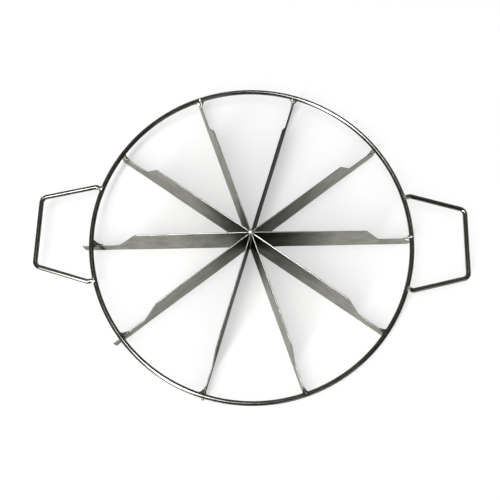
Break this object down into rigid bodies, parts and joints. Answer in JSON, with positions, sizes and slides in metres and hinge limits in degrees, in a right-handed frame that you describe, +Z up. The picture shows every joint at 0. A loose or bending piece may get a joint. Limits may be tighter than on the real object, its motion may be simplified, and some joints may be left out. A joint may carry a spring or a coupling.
{
  "type": "cake portion marker",
  "caption": "Round marker that presses portion lines into a cake: strip blades radiate from a centre pin to a welded wire hoop with a bent wire handle at each side.",
  "frame": {"origin": "on the centre pin's axis, at the plane that the blades rest on", "axes": "+Z up along the centre pin, away from the resting plane; +X along blade_01, towards the right handle"},
  "size_m": [0.3755, 0.28, 0.0516],
  "materials": {
    "wire_steel": "polished stainless round wire",
    "strip_steel": "satin rolled stainless strip",
    "weld_metal": "bright pickled weld metal"
  },
  "bodies": {
    "root": {"hoop": "wire_steel", "centre_pin": "weld_metal", "handle_right": "wire_steel", "handle_left": "wire_steel", "hoop_welds": "weld_metal", "handle_welds": "weld_metal", "blade_01": "strip_steel", "blade_02": "strip_steel", "blade_03": "strip_steel", "blade_04": "strip_steel", "blade_05": "strip_steel", "blade_06": "strip_steel", "blade_07": "strip_steel", "blade_08": "strip_steel", "blade_09": "strip_steel", "blade_10": "strip_steel"}
  },
  "joints": []
}
